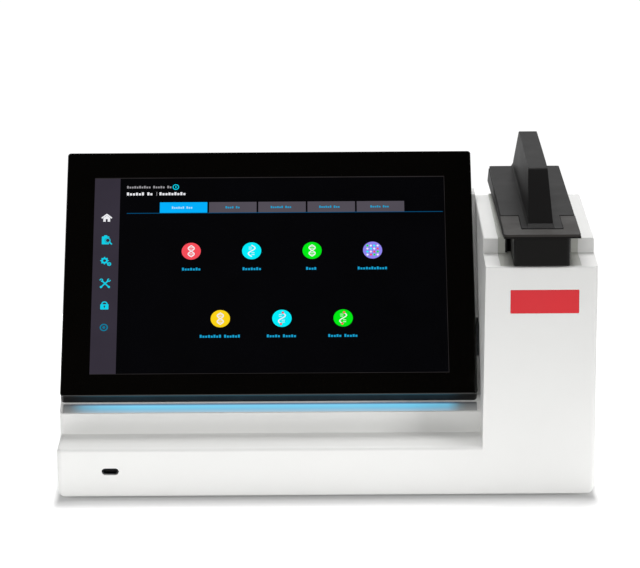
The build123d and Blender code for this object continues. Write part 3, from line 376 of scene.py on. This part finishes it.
BRUSHED = {
    # slot: (screen colour, roughness range, direction of the lines, their depth in mm)
    "port_steel": ((196, 196, 198), (0.18, 0.32), LINES_ALONG_X, 0.004),
    "black_nickel": ((46, 46, 48), (0.3, 0.45), LINES_ALONG_X, 0.004),
    "screw_steel": ((188, 189, 192), (0.25, 0.4), LINES_ALONG_X, 0.004),
    "pedestal_steel": ((214, 214, 212), (0.08, 0.18), LINES_ALONG_Z, 0.004),
    "bearing_brass": ((214, 176, 96), (0.2, 0.34), LINES_ALONG_Y, 0.004),
    "frame_aluminium": ((198, 201, 205), (0.28, 0.42), LINES_ALONG_X, 0.004),
    "bracket_steel": ((178, 181, 186), (0.3, 0.45), LINES_ALONG_X, 0.004),
    "optic_mirror": ((232, 236, 242), (0.01, 0.03), LINES_ALONG_X, 0.0),
}


def make_materials():
    """A material for each slot in the record."""
    materials = {slot: moulded(slot, *values) for slot, values in MOULDED.items()}
    materials |= {slot: brushed(slot, *values) for slot, values in BRUSHED.items()}
    materials["circuit_board"] = circuit("circuit_board")
    materials["cover_glass"] = cover_glass()
    materials["light_diffuser"] = light_bar()
    materials["friction_fibre"] = pressed_fibre()
    return materials


def dress_nodes(materials):
    """Each CAD node takes the material of its slot in the record."""
    for entry in frame["record"]["subparts"]:
        node = NODES[entry["node"]]
        material = materials[entry["material_slot"]]
        if node.material_slots:
            for place in node.material_slots:
                place.material = material
        else:
            node.data.materials.append(material)


# rounds on the crisp edges of the pieces that are seen closest, in millimetres
SOFT_EDGES = {
    "arm_handle": 1.8,
    "arm_cover": 0.25,
    "front_grip_pad": 0.35,
    "nose_block": 0.6,
    "arm_tray": 0.2,
}
CRISP_ANGLE = math.radians(40)


def soften_edges():
    """Small rounds wherever two faces of these pieces meet at a crisp angle."""
    for name, width in SOFT_EDGES.items():
        bevel = NODES[name].modifiers.new("soft_edges", "BEVEL")
        bevel.width = width * MM
        bevel.segments = 3
        bevel.limit_method = "ANGLE"
        bevel.angle_limit = CRISP_ANGLE


# ---- the display's picture ----
LAYER = 0.02 * MM
RING_SIDES = 28
# how tall the stand-in letters of a word are, as shares of the line's height
LETTER_HEIGHTS = (1.0, 0.7, 0.7, 0.9, 0.7, 1.0, 0.7)


def display_face():
    """The cover glass's front: its lower left corner, and directions across, up and out of it."""
    mesh = NODES["display_glass"].data
    forward = [polygon for polygon in mesh.polygons if polygon.normal.y < 0]
    out = max(forward, key=lambda polygon: polygon.area).normal.copy()
    across = Vector((1, 0, 0))
    up = out.cross(across).normalized()
    front = max(vertex.co.dot(out) for vertex in mesh.vertices)
    left = min(vertex.co.x for vertex in mesh.vertices)
    foot = min(vertex.co.dot(up) for vertex in mesh.vertices)
    return across * left + up * foot + out * front, across, up, out


class Picture:
    """Thin raised shapes on the display, gathered in one piece with a material for each colour."""

    corner, across, up, out = display_face()

    def __init__(self, name, layer=1):
        self.name = name
        self.layer = layer
        self.mesh = bmesh.new()
        self.materials = []

    def colour(self, material):
        if material not in self.materials:
            self.materials.append(material)
        return self.materials.index(material)

    def vertex(self, x, y, layer):
        on_glass = self.corner + self.across * (x * MM) + self.up * (y * MM)
        return self.mesh.verts.new(on_glass + self.out * (layer * LAYER))

    def shape(self, points, material, lift=0):
        """A closed slab with the given outline, anticlockwise, in millimetres on the glass."""
        index = self.colour(material)
        low = [self.vertex(x, y, 0.0) for x, y in points]
        high = [self.vertex(x, y, self.layer + lift) for x, y in points]
        faces = [self.mesh.faces.new(high), self.mesh.faces.new(low[::-1])]
        for i in range(len(points)):
            j = (i + 1) % len(points)
            faces.append(self.mesh.faces.new((low[i], low[j], high[j], high[i])))
        for face in faces:
            face.material_index = index

    def bar(self, x0, x1, y0, y1, material, corner=0.0, lift=0):
        """A rectangle, with rounded corners if a radius is given."""
        if not corner:
            points = [(x0, y0), (x1, y0), (x1, y1), (x0, y1)]
        else:
            points = []
            centres = [(x1 - corner, y0 + corner), (x1 - corner, y1 - corner)]
            centres += [(x0 + corner, y1 - corner), (x0 + corner, y0 + corner)]
            for quarter, (cx, cy) in enumerate(centres):
                for step in range(4):
                    angle = math.radians(-90 + 90 * quarter + 30 * step)
                    points.append((cx + corner * math.cos(angle), cy + corner * math.sin(angle)))
        self.shape(points, material, lift)

    def disc(self, x, y, radius, material, sides=40, lift=0):
        turns = [2 * math.pi * i / sides for i in range(sides)]
        points = [(x + radius * math.cos(a), y + radius * math.sin(a)) for a in turns]
        self.shape(points, material, lift)

    def line(self, points, width, material, lift=0):
        """A band of constant width along the points, as one closed slab for each stretch."""
        for (x0, y0), (x1, y1) in zip(points, points[1:]):
            length = math.hypot(x1 - x0, y1 - y0)
            dx, dy = (x1 - x0) / length, (y1 - y0) / length
            ox, oy = -dy * width / 2, dx * width / 2
            ex, ey = dx * width * 0.2, dy * width * 0.2
            start, end = (x0 - ex, y0 - ey), (x1 + ex, y1 + ey)
            outline = [
                (start[0] - ox, start[1] - oy),
                (end[0] - ox, end[1] - oy),
                (end[0] + ox, end[1] + oy),
                (start[0] + ox, start[1] + oy),
            ]
            self.shape(outline, material, lift)

    def ring(self, x, y, radius, width, material, start=0.0, end=360.0, lift=0):
        """A band round a centre, whole or from one angle to another."""
        steps = max(4, round(RING_SIDES * (end - start) / 360))
        turns = [math.radians(start + (end - start) * i / steps) for i in range(steps + 1)]
        points = [(x + radius * math.cos(a), y + radius * math.sin(a)) for a in turns]
        self.line(points, width, material, lift)

    def words(self, x, y, height, lengths, material, lift=0):
        """Rows of small blocks that stand for words without being any."""
        letter, gap, space = 0.62 * height, 0.26 * height, 0.75 * height
        for length in lengths:
            for count in range(max(1, round(length / (letter + gap)))):
                top = y + height * LETTER_HEIGHTS[count % len(LETTER_HEIGHTS)]
                self.bar(x, x + letter, y, top, material, lift=lift)
                x += letter + gap
            x += space

    def finish(self):
        piece = add_mesh(self.name, self.mesh, self.materials)
        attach(piece, "base")


SCREEN_LEFT, SCREEN_RIGHT = 17.4, 234.4
SCREEN_LOW, SCREEN_HIGH = 14.4, 150.0
SIDEBAR_RIGHT = 33.2
ICON_X = 25.3
TAB_LOW, TAB_HIGH = 125.4, 132.8
TAB_START, TAB_STEP, TAB_WIDTH = 58.0, 30.5, 29.4
TAB_LABEL_WIDTHS = (14.5, 9.0, 14.0, 15.0, 12.5)
TITLE_X = 37.4
TITLE_LOW, SUBTITLE_LOW = 142.9, 137.9
RIM_WIDTH = 0.45
TILE_RADIUS = 5.9
STRAND_RISE = 3.9
STRAND_STEPS = 14


def display_colours():
    """The glowing materials of the picture, by name."""
    return {
        "panel": glow("panel_black", linear(2, 2, 4), 1.0, 0.2),
        "rim": glow("panel_rim", linear(46, 43, 44), 0.9, 0.25),
        "sidebar": glow("sidebar_slate", linear(54, 49, 60), 0.95, 0.06),
        "tab": glow("tab_slate", linear(84, 79, 88), 0.95, 0.05),
        "bright": glow("tab_bright", linear(0, 176, 255)),
        "rule": glow("rule_blue", linear(0, 78, 122), 0.9),
        "cyan": glow("icon_cyan", linear(12, 208, 232)),
        "dim": glow("icon_dim", linear(6, 118, 150)),
        "caption": glow("caption_blue", linear(22, 158, 206)),
        "white": glow("icon_white", linear(236, 236, 240)),
        "pale": glow("label_pale", linear(176, 222, 255)),
        "grey": glow("label_grey", linear(150, 148, 152)),
        "red": glow("tile_red", linear(244, 76, 88)),
        "aqua": glow("tile_aqua", linear(0, 236, 250)),
        "green": glow("tile_green", linear(0, 232, 20)),
        "purple": glow("tile_purple", linear(142, 132, 236)),
        "yellow": glow("tile_yellow", linear(252, 210, 22)),
    }


def panel_picture(ink):
    """The lit area's black ground with its thin pale rim."""
    ground = Picture("display_ground", 1)
    ground.bar(SCREEN_LEFT, SCREEN_RIGHT, SCREEN_LOW, SCREEN_HIGH, ink["panel"])
    ground.finish()
    rim = Picture("display_rim", 2)
    top = SCREEN_HIGH + RIM_WIDTH
    rim.bar(SCREEN_LEFT, SCREEN_RIGHT, SCREEN_HIGH - 0.1, top, ink["rim"])
    rim.bar(SCREEN_LEFT, SCREEN_RIGHT, SCREEN_LOW - 0.2, SCREEN_LOW + 0.05, ink["rim"])
    rim.bar(SCREEN_RIGHT - 0.05, SCREEN_RIGHT + 0.2, SCREEN_LOW - 0.2, top, ink["rim"])
    rim.finish()


def house_icon(icons, x, y, ink):
    white = ink["white"]
    icons.line([(x - 3, y), (x, y + 2.5), (x + 3, y)], 0.9, white)
    foot = y - 2.6
    walls = [(x - 2.1, foot), (x + 2.1, foot), (x + 2.1, y), (x, y + 1.7), (x - 2.1, y)]
    icons.shape(walls, white)
    icons.bar(x - 0.6, x + 0.6, foot, y - 0.8, ink["sidebar"], lift=1)


def clipboard_icon(icons, x, y, ink):
    """A clipboard with a magnifying glass over its corner."""
    cyan = ink["cyan"]
    icons.bar(x - 2.7, x + 1.9, y - 3, y + 2.5, cyan, 0.4)
    icons.bar(x - 1.4, x + 0.6, y + 2.2, y + 3.3, cyan, 0.3)
    icons.disc(x + 1.0, y - 0.3, 1.9, ink["sidebar"], 24, 1)
    icons.ring(x + 1.0, y - 0.3, 1.4, 0.5, cyan, lift=2)
    icons.line([(x + 2.1, y - 1.4), (x + 3.4, y - 3.0)], 0.8, cyan, 2)


def gears_icon(icons, x, y, ink):
    """Two toothed wheels, a large one and a small one."""
    cyan = ink["cyan"]
    for gear_x, gear_y, radius in ((x - 0.7, y + 0.6, 1.5), (x + 2.2, y - 1.8, 0.8)):
        icons.ring(gear_x, gear_y, radius, 0.55 * radius + 0.25, cyan)
        for tooth in range(8):
            turn = math.radians(45 * tooth)
            near, far = radius * 1.1, radius * 1.65
            stretch = [
                (gear_x + near * math.cos(turn), gear_y + near * math.sin(turn)),
                (gear_x + far * math.cos(turn), gear_y + far * math.sin(turn)),
            ]
            icons.line(stretch, 0.42 * radius, cyan)


def spanners_icon(icons, x, y, ink):
    """Two crossed spanners with open heads."""
    cyan = ink["cyan"]
    for side, start, end in ((-1, -90, 180), (1, 90, 360)):
        icons.line([(x - side * 2.4, y - 2.4), (x + side * 2.0, y + 2.0)], 0.85, cyan)
        icons.ring(x + side * 2.3, y + 2.3, 0.8, 0.6, cyan, start, end)
        icons.disc(x - side * 2.4, y - 2.4, 0.75, cyan, 16)


def lock_icon(icons, x, y, ink):
    cyan, dark = ink["cyan"], ink["sidebar"]
    icons.bar(x - 2.5, x + 2.5, y - 2.8, y + 0.8, cyan, 0.4)
    icons.ring(x, y + 0.8, 1.6, 0.7, cyan, 0, 180)
    icons.disc(x, y - 0.6, 0.55, dark, 16, 1)
    icons.bar(x - 0.22, x + 0.22, y - 1.9, y - 0.6, dark, lift=1)


def knob_icon(icons, x, y, ink):
    icons.ring(x, y, 2.1, 0.8, ink["dim"])
    icons.disc(x, y, 0.9, ink["dim"], 20)


# the menu's symbols from the top down, each with the height of its middle
MENU = (
    (122.0, house_icon),
    (106.5, clipboard_icon),
    (91.5, gears_icon),
    (76.2, spanners_icon),
    (61.1, lock_icon),
    (46.0, knob_icon),
)


def sidebar_picture(ink):
    """The menu strip and its six symbols."""
    strip = Picture("display_menu_strip", 2)
    strip.bar(SCREEN_LEFT, SIDEBAR_RIGHT, SCREEN_LOW, SCREEN_HIGH, ink["sidebar"])
    strip.finish()
    icons = Picture("display_menu_icons", 3)
    for y, icon in MENU:
        icon(icons, ICON_X, y, ink)
    icons.finish()


def header_picture(ink):
    """Two lines of stand-in words, an information ring, the tabs and the rule under them."""
    header = Picture("display_header", 2)
    header.words(TITLE_X, TITLE_LOW, 1.7, (14.5, 7.5, 2.5), ink["grey"])
    header.ring(67.7, 143.7, 1.7, 0.55, ink["cyan"])
    header.bar(67.4, 68.0, TITLE_LOW, 144.5, ink["cyan"])
    header.words(TITLE_X, SUBTITLE_LOW, 2.1, (11.5, 4.0), ink["white"])
    header.bar(55.8, 56.1, 137.6, 140.3, ink["grey"])
    header.words(57.6, SUBTITLE_LOW, 2.1, (15.8,), ink["white"])
    header.finish()
    tabs = Picture("display_tabs", 2)
    tabs.bar(37.6, 233.3, TAB_LOW - 0.45, TAB_LOW, ink["rule"])
    for index, width in enumerate(TAB_LABEL_WIDTHS):
        x = TAB_START + index * TAB_STEP
        chosen = index == 0
        tabs.bar(x, x + TAB_WIDTH, TAB_LOW, TAB_HIGH, ink["bright" if chosen else "tab"])
        middle = x + TAB_WIDTH / 2
        label = ink["pale" if chosen else "caption"]
        tabs.words(middle - width / 2, 128.3, 1.5, (0.55 * width, 0.3 * width), label, 1)
    tabs.finish()


def strand(picture, x, y, width, phase, ink):
    """A line that swings once from side to side as it rises."""
    points = []
    for step in range(STRAND_STEPS + 1):
        share = step / STRAND_STEPS
        swing = math.cos(2 * math.pi * share + phase)
        points.append((x + width * swing, y - STRAND_RISE + 2 * STRAND_RISE * share))
    picture.line(points, 0.65, ink["white"], 1)


def double_strand(picture, x, y, ink):
    """Two strands that cross in the middle and meet at both ends, with rungs between them."""
    for phase in (math.pi / 2, math.pi + math.pi / 2):
        strand(picture, x, y, 1.9, phase, ink)
    for rise in (-2.6, -1.5, 1.5, 2.6):
        picture.line([(x - 1.4, y + rise), (x + 1.4, y + rise)], 0.32, ink["white"], 1)


def single_strand(picture, x, y, ink):
    """One strand that winds once, with short rungs."""
    strand(picture, x, y, 2.1, math.pi / 2, ink)
    for rise, side in ((-2.6, 1), (-1.3, 1), (1.3, -1), (2.6, -1)):
        picture.line([(x, y + rise), (x + side * 1.7, y + rise)], 0.32, ink["white"], 1)


def spot_grid(picture, x, y, ink):
    """Four rows of four spots in several colours."""
    colours = ("white", "red", "green", "white", "aqua")
    places = (-1.5, -0.5, 0.5, 1.5)
    spots = [(column, line) for line in places for column in places]
    for count, (column, line) in enumerate(spots):
        colour = ink[colours[count % len(colours)]]
        picture.disc(x + column * 2.1, y + line * 2.1, 0.68, colour, 14, 1)


def marked_strand(picture, x, y, ink):
    """A winding strand with a coloured spot at each end."""
    single_strand(picture, x, y, ink)
    for side in (1, -1):
        picture.disc(x + side * 0.6, y + side * STRAND_RISE, 0.75, ink["red"], 14, 2)


# the start page's buttons: for each row, the height of their middles and of their captions, and
# for each button its middle, colour, symbol and the lengths of its caption's words
TILE_ROWS = (
    (98.3, 84.9, (
        (77.8, "red", double_strand, (11.0,)),
        (115.0, "aqua", single_strand, (11.0,)),
        (152.2, "green", double_strand, (7.5,)),
        (189.4, "purple", spot_grid, (18.5,)),
    )),
    (51.5, 38.6, (
        (96.1, "yellow", double_strand, (13.0, 10.5)),
        (133.6, "aqua", marked_strand, (9.0, 8.0)),
        (170.9, "green", marked_strand, (9.0, 8.0)),
    )),
)


def tiles_picture(ink):
    """The round buttons of the start page, each with a symbol and stand-in words below."""
    tiles = Picture("display_tiles", 2)
    for y, caption_y, buttons in TILE_ROWS:
        for x, colour, symbol, lengths in buttons:
            tiles.disc(x, y, TILE_RADIUS, ink[colour])
            symbol(tiles, x, y, ink)
            width = sum(lengths) + 1.3 * (len(lengths) - 1)
            tiles.words(x - width / 2, caption_y, 1.9, lengths, ink["caption"])
    tiles.finish()


def make_display_picture():
    """What the screen shows: a start page with no real words on it."""
    ink = display_colours()
    panel_picture(ink)
    sidebar_picture(ink)
    header_picture(ink)
    tiles_picture(ink)


# ---- optical tips of the pedestals ----
# the window's edge from the face outwards: radius and height
WINDOW_PROFILE = [(0.62 * MM, 0.0), (0.62 * MM, 0.008 * MM), (0.55 * MM, 0.014 * MM)]
WINDOW_SIDES = 40


def quartz():
    look = Look("quartz_tip", Specular_IOR_Level=0.6)
    look.tint(linear(52, 60, 70), 0.3, 0.4 * MM)
    look.gloss(0.03, 0.08, 0.5 * MM)
    return look.material


def tip_window(name, node, body, facing, material):
    """The polished fibre end in the middle of a pedestal's face."""
    low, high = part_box(node)
    face_z = high.z if facing > 0 else low.z
    centre_x, centre_y = (low.x + high.x) / 2, (low.y + high.y) / 2
    mesh = bmesh.new()
    rings = []
    for radius, height in WINDOW_PROFILE:
        ring = []
        for i in range(WINDOW_SIDES):
            angle = 2 * math.pi * i / WINDOW_SIDES
            x = centre_x + radius * math.cos(angle)
            y = centre_y + radius * math.sin(angle)
            ring.append(mesh.verts.new((x, y, face_z + facing * height)))
        rings.append(ring)
    for lower, upper in zip(rings, rings[1:]):
        for i in range(WINDOW_SIDES):
            j = (i + 1) % WINDOW_SIDES
            mesh.faces.new((lower[i], lower[j], upper[j], upper[i]))
    mesh.faces.new(rings[-1])
    mesh.faces.new(rings[0][::-1])
    bmesh.ops.recalc_face_normals(mesh, faces=mesh.faces)
    piece = add_mesh(name, mesh, [material])
    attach(piece, body)


# ---- studio ----
FILL_STRENGTH = 0.15
BACKDROP_STRENGTH = 1.05
# what glossy surfaces see, by the sine of its height angle: 0 is the horizon and all below it,
# 1 is straight up
REFLECTED = [
    (0.0, grey(1.0)),
    (0.495, grey(1.0)),
    (0.505, grey(0.3)),
    (0.62, grey(0.03)),
    (1.0, (0.010, 0.010, 0.009, 1.0)),
]


def make_world():
    """Dim even fill, a white backdrop, and dark surroundings overhead for the reflections."""
    world = bpy.data.worlds.new("studio")
    SCENE.world = world
    world.use_nodes = True
    nodes, links = world.node_tree.nodes, world.node_tree.links
    nodes.clear()
    path = nodes.new("ShaderNodeLightPath")

    def background(strength):
        made = nodes.new("ShaderNodeBackground")
        made.inputs["Color"].default_value = grey(1.0)
        made.inputs["Strength"].default_value = strength
        return made

    def switch(kind_of_ray, other, chosen):
        """The chosen shader for one kind of ray, and the other shader for the rest."""
        mix = nodes.new("ShaderNodeMixShader")
        links.new(path.outputs[kind_of_ray], mix.inputs["Fac"])
        links.new(other, mix.inputs[1])
        links.new(chosen, mix.inputs[2])
        return mix.outputs["Shader"]

    place = nodes.new("ShaderNodeTexCoord")
    split = nodes.new("ShaderNodeSeparateXYZ")
    links.new(place.outputs["Generated"], split.inputs["Vector"])
    ramp = nodes.new("ShaderNodeValToRGB")
    set_stops(ramp, REFLECTED)
    links.new(split.outputs["Z"], ramp.inputs["Fac"])
    reflected = background(1.0)
    links.new(ramp.outputs["Color"], reflected.inputs["Color"])
    fill = background(FILL_STRENGTH)
    backdrop = background(BACKDROP_STRENGTH)
    shader = switch("Is Glossy Ray", fill.outputs["Background"], reflected.outputs["Background"])
    shader = switch("Is Camera Ray", shader, backdrop.outputs["Background"])
    output = nodes.new("ShaderNodeOutputWorld")
    links.new(shader, output.inputs["Surface"])


LIGHTS = {
    # name: (azimuth from the front towards the right, elevation, distance, size, watts)
    "key_right": (56, 16, 3.0, 0.9, 31.0),
    "top_back": (172, 60, 1.4, 0.8, 16.0),
    "fill_left": (-52, 14, 1.1, 0.6, 1.4),
    "front_high": (-8, 38, 1.8, 0.8, 2.0),
    "front_low": (-6, 14, 2.0, 1.0, 4.2),
}


def make_lights():
    """Large soft boxes round the instrument, all aimed at its middle."""
    low, high = cad_box
    middle = (low + high) / 2
    for name, (azimuth, elevation, distance, size, power) in LIGHTS.items():
        turn, rise = math.radians(azimuth), math.radians(elevation)
        level = math.cos(rise)
        away = Vector((math.sin(turn) * level, -math.cos(turn) * level, math.sin(rise)))
        data = bpy.data.lights.new(name, "AREA")
        data.shape = "SQUARE"
        data.size = size
        data.energy = power
        light = add_object(name, data)
        light.location = middle + away * distance
        light.rotation_mode = "QUATERNION"
        light.rotation_quaternion = away.to_track_quat("Z", "Y")


# the table's glow, as places and levels: place 0 is the edge of the housing's footprint,
# and place 1 is the reach below beyond it; the low levels near the footprint are painted contact
# shadow
TABLE_GLOW_AND_PAINTED_SHADOW = [(0.0, 0.1), (0.075, 0.34), (0.175, 0.68), (0.31, 0.8), (0.5, 0.85), (1.0, 0.85)]
PAINTED_SHADOW_REACH = 0.12
# beside the housing the painted shadow band is narrower than before and behind it, by this factor
SIDE_FALL = 5.0
# and there it starts this far inside the footprint
SIDE_INSET = 1 * MM
TABLE_HALF = 0.32
TABLE_WHITE = 0.66


def beyond_footprint(look):
    """How far a point on the table is from the housing's footprint, in metres."""
    low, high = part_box("main_housing")
    sides = (
        # axis, middle, half of the footprint, weight
        ("X", 0.0, (high.x - low.x) / 2 - SIDE_INSET, SIDE_FALL),
        ("Y", (low.y + high.y) / 2, (high.y - low.y) / 2, 1.0),
    )
    join = look.node("ShaderNodeCombineXYZ")
    for letter, middle, half, weight in sides:
        centred = look.arithmetic("SUBTRACT", look.axis(letter), middle)
        past = look.arithmetic("SUBTRACT", look.arithmetic("ABSOLUTE", centred), half)
        clear = look.arithmetic("MAXIMUM", past, 0.0)
        look.link(look.arithmetic("MULTIPLY", clear, weight), join.inputs[letter])
    length = look.node("ShaderNodeVectorMath", operation="LENGTH")
    look.link(join.outputs["Vector"], length.inputs[0])
    return length.outputs["Value"]


def make_floor():
    """A plain white glowing table, its glow turned down close to the object as painted contact
    shadow, with the backdrop beyond it.
    """
    look = Look("white_table", Specular_IOR_Level=0.1, Roughness=0.7, Emission_Strength=1.0)
    look.tint(grey(TABLE_WHITE), 0.004, 0.5)
    look.grain(2 * MM, 0.01 * MM)
    # painted contact shadow: the table's glow is lowest at the housing's footprint and rises to
    # full away from it
    reach = look.spread(beyond_footprint(look), 0.0, 1.0, 0.0, PAINTED_SHADOW_REACH)
    stops = [(place, grey(level)) for place, level in TABLE_GLOW_AND_PAINTED_SHADOW]
    look.link(look.ramp(reach, stops), look.shader.inputs["Emission Color"])
    mesh = bmesh.new()
    bmesh.ops.create_grid(mesh, x_segments=8, y_segments=8, size=TABLE_HALF)
    floor = add_mesh("table_top", mesh, [look.material])


# ---- the whole scene ----
make_camera()
SCENE.view_settings.view_transform = "Standard"
SCENE.view_settings.look = "None"
dress_nodes(make_materials())
soften_edges()
make_display_picture()
window_material = quartz()
tip_window("lower_pedestal_window", "lower_pedestal", "lift", 1, window_material)
tip_window("upper_pedestal_window", "upper_pedestal", "arm", -1, window_material)
make_world()
make_lights()
make_floor()
